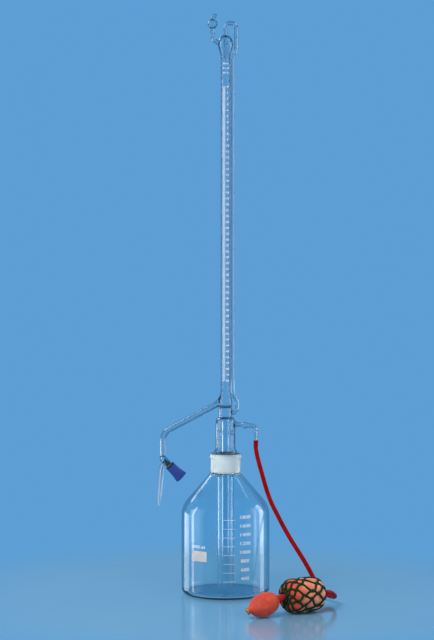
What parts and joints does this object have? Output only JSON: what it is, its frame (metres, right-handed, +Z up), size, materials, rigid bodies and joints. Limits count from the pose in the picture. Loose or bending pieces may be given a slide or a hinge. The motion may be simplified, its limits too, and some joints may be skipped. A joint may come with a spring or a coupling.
{
  "type": "automatic burette",
  "caption": "Glass burette on a reservoir bottle: a rubber hand pump lifts liquid up a side tube to an overflow zero, and a needle valve with a blue knob doses it from a side jet.",
  "frame": {"origin": "centre of the bottle's foot, on the surface that it stands on", "axes": "+Z up along the bottle and the measuring tube, the scale faces -Y, the jet is on the -X side and the pump's nipple on the +X side"},
  "size_m": [0.2822, 0.2857, 0.9345],
  "materials": {
    "clear_glass": "clear blown glass",
    "frosted_glass": "ground, frosted",
    "white_ptfe": "white, waxy",
    "blue_plastic": "moulded, satin",
    "black_rubber": "matte",
    "red_hose": "satin rubber tubing",
    "red_rubber": "satin, slightly dusty",
    "pink_rubber": "thin stretched rubber",
    "green_cord": "twisted cotton cord",
    "nickel": "nickel plated, turned"
  },
  "bodies": {
    "reservoir": {"reservoir_bottle": "clear_glass"},
    "joint_sleeve": {"joint_sleeve": "white_ptfe"},
    "burette_head": {"ground_cone": "frosted_glass", "jacket_tube": "clear_glass", "guard_tube": "clear_glass", "dip_tube": "clear_glass", "filling_chamber": "clear_glass", "measuring_tube": "clear_glass", "overflow_bulb": "clear_glass", "zero_tip": "clear_glass", "filling_tube": "clear_glass", "vent_tube": "clear_glass", "vent_bulb": "clear_glass", "vent_tip": "clear_glass", "delivery_arm": "clear_glass", "valve_barrel": "clear_glass", "jet_tip": "clear_glass", "stop_ring": "black_rubber", "air_arm": "clear_glass", "inlet_bulb": "clear_glass", "hose_nipple": "clear_glass"},
    "valve_spindle": {"valve_spindle": "white_ptfe", "spindle_o_rings": "black_rubber"},
    "valve_knob": {"valve_knob": "blue_plastic"},
    "hand_pump": {"hose": "red_hose", "pressure_bulb": "pink_rubber", "bulb_net": "green_cord", "net_ties": "green_cord", "bulb_link": "red_rubber", "outlet_valve_body": "nickel", "hand_bulb": "red_rubber", "inlet_valve_body": "nickel"},
    "inlet_ball": {"inlet_valve_ball": "nickel"},
    "outlet_ball": {"outlet_valve_ball": "nickel"}
  },
  "joints": [
    {"name": "head_lift", "type": "slide", "parent": "reservoir", "child": "joint_sleeve", "axis": [0, 0, 1], "range_m": [0, 0.24]},
    {"name": "head_turn", "type": "hinge", "parent": "joint_sleeve", "child": "burette_head", "pos_m": [0, 0, 0.225], "axis": [0, 0, 1], "continuous": true},
    {"name": "needle_travel", "type": "slide", "parent": "burette_head", "child": "valve_spindle", "axis": [0.7071, 0, -0.7071], "range_m": [0, 0.005]},
    {"name": "valve_turn", "type": "hinge", "parent": "valve_spindle", "child": "valve_knob", "pos_m": [-0.101, 0, 0.2172], "axis": [0.7071, 0, -0.7071], "range_deg": [0, 720]},
    {"name": "hose_swivel", "type": "hinge", "parent": "burette_head", "child": "hand_pump", "pos_m": [0.049, 0, 0.24], "axis": [0, 0, 1], "range_deg": [-10, 80]},
    {"name": "inlet_ball_lift", "type": "slide", "parent": "hand_pump", "child": "inlet_ball", "axis": [0.8264, 0.5164, 0.2243], "range_m": [0, 0.0012]},
    {"name": "outlet_ball_lift", "type": "slide", "parent": "hand_pump", "child": "outlet_ball", "axis": [0.8264, 0.5164, 0.2243], "range_m": [0, 0.001]}
  ],
  "couplings": [
    {"joint": "needle_travel", "follows": "valve_turn", "m_per_rad": 0.0003978}
  ]
}
